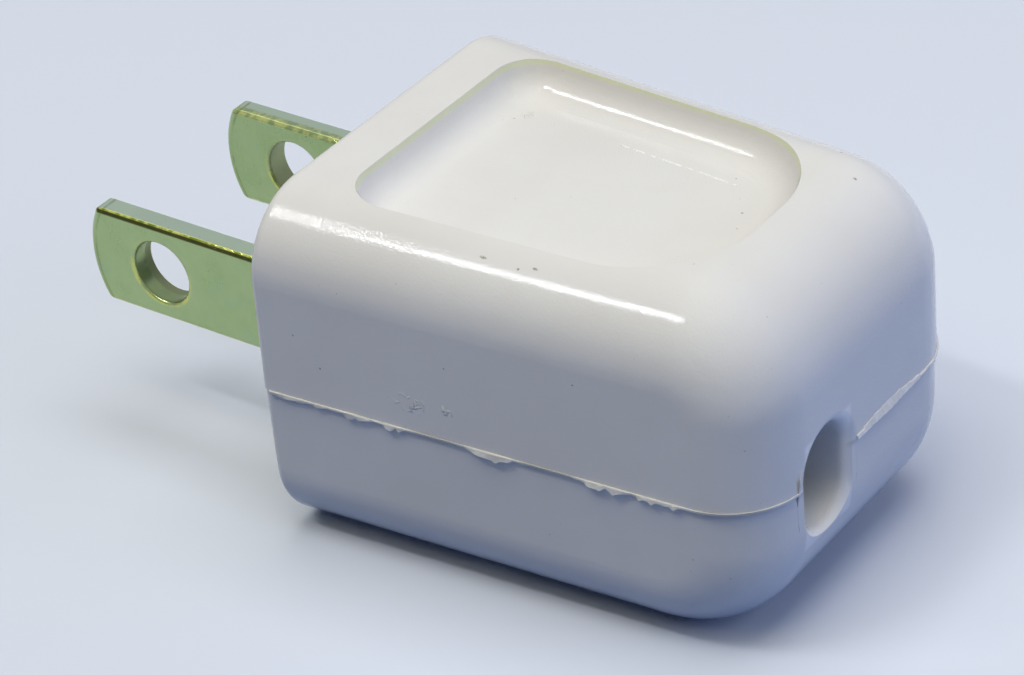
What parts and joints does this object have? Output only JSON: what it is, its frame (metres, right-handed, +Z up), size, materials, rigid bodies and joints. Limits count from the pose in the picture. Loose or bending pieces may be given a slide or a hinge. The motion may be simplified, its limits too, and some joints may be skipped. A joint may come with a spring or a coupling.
{
  "type": "two-pin plug",
  "caption": "Flat two-blade mains plug for flat cord: moulded ivory shell with thumb recesses, snap-in core and punched brass blades.",
  "frame": {"origin": "centre of the mating face, midway between the two blades", "axes": "+X across the two blades, +Y from the mating face towards the cord end with the blades pointing along -Y, +Z up through the upper thumb recess"},
  "size_m": [0.026, 0.0484, 0.0216],
  "materials": {
    "shell_plastic": "glossy moulded, slight orange peel",
    "core_plastic": "glossy moulded",
    "blade_brass": "rolled strip, greenish, punched and bevelled edges"
  },
  "bodies": {
    "root": {"shell": "shell_plastic", "core": "core_plastic", "blade_right": "blade_brass", "blade_left": "blade_brass"}
  },
  "joints": []
}
